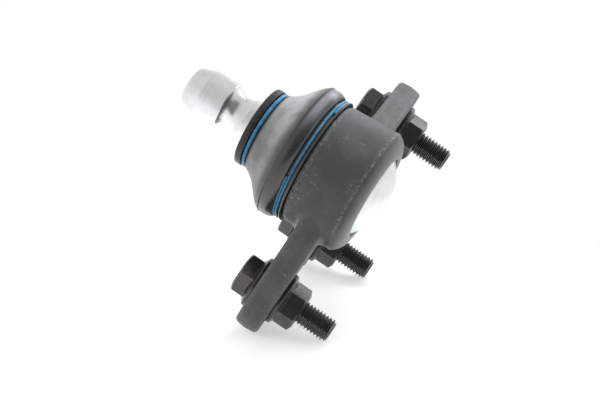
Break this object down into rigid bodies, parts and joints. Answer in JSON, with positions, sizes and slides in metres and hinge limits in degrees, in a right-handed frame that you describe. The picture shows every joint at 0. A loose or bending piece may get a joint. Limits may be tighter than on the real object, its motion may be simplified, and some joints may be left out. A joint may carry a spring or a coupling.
{
  "type": "suspension ball joint",
  "caption": "Suspension ball joint: forged flange with bolts and nuts, round barrel with closing cap, rubber dust boot with clamp rings, and a swivelling clamp-type stud.",
  "frame": {"origin": "centre of the ball", "axes": "+Z square to the flange, towards the stud; +Y from the ball towards the rear bolt; +X towards the right ear"},
  "size_m": [0.1232, 0.1132, 0.1001],
  "materials": {
    "forging": "phosphated steel forging, satin charcoal",
    "bright_steel": "turned steel, bright",
    "zinc_cap": "zinc-plated pressed steel, pale",
    "black_oxide": "black oxide fastener, satin",
    "boot_rubber": "moulded rubber, matt",
    "blue_ring": "blue coated ring, gloss",
    "seat_plastic": "acetal bearing seat",
    "spring_steel": "spring steel"
  },
  "bodies": {
    "housing": {"housing": "forging", "upper_seat": "seat_plastic", "lower_seat": "seat_plastic", "disc_spring": "spring_steel", "end_cap": "zinc_cap", "bolt_left": "black_oxide", "bolt_right": "black_oxide", "bolt_rear": "black_oxide", "nut_left": "black_oxide", "nut_right": "black_oxide", "nut_rear": "black_oxide"},
    "boot_foot": {"dust_boot": "boot_rubber", "lower_ring": "blue_ring"},
    "boot_collar": {"upper_ring": "blue_ring"},
    "stud": {"ball_stud": "bright_steel"}
  },
  "joints": [
    {"name": "boot_turn", "type": "hinge", "parent": "housing", "child": "boot_foot", "pos_m": [0, 0, 0], "axis": [0, 0.1219, 0.9925], "continuous": true},
    {"name": "stud_swing", "type": "hinge", "parent": "boot_foot", "child": "boot_collar", "pos_m": [0, 0, 0], "axis": [1, 0, 0], "range_deg": [-25, 25], "deforming": ["dust_boot"]},
    {"name": "stud_spin", "type": "hinge", "parent": "boot_collar", "child": "stud", "pos_m": [0, 0, 0], "axis": [0, 0.1219, 0.9925], "continuous": true}
  ]
}
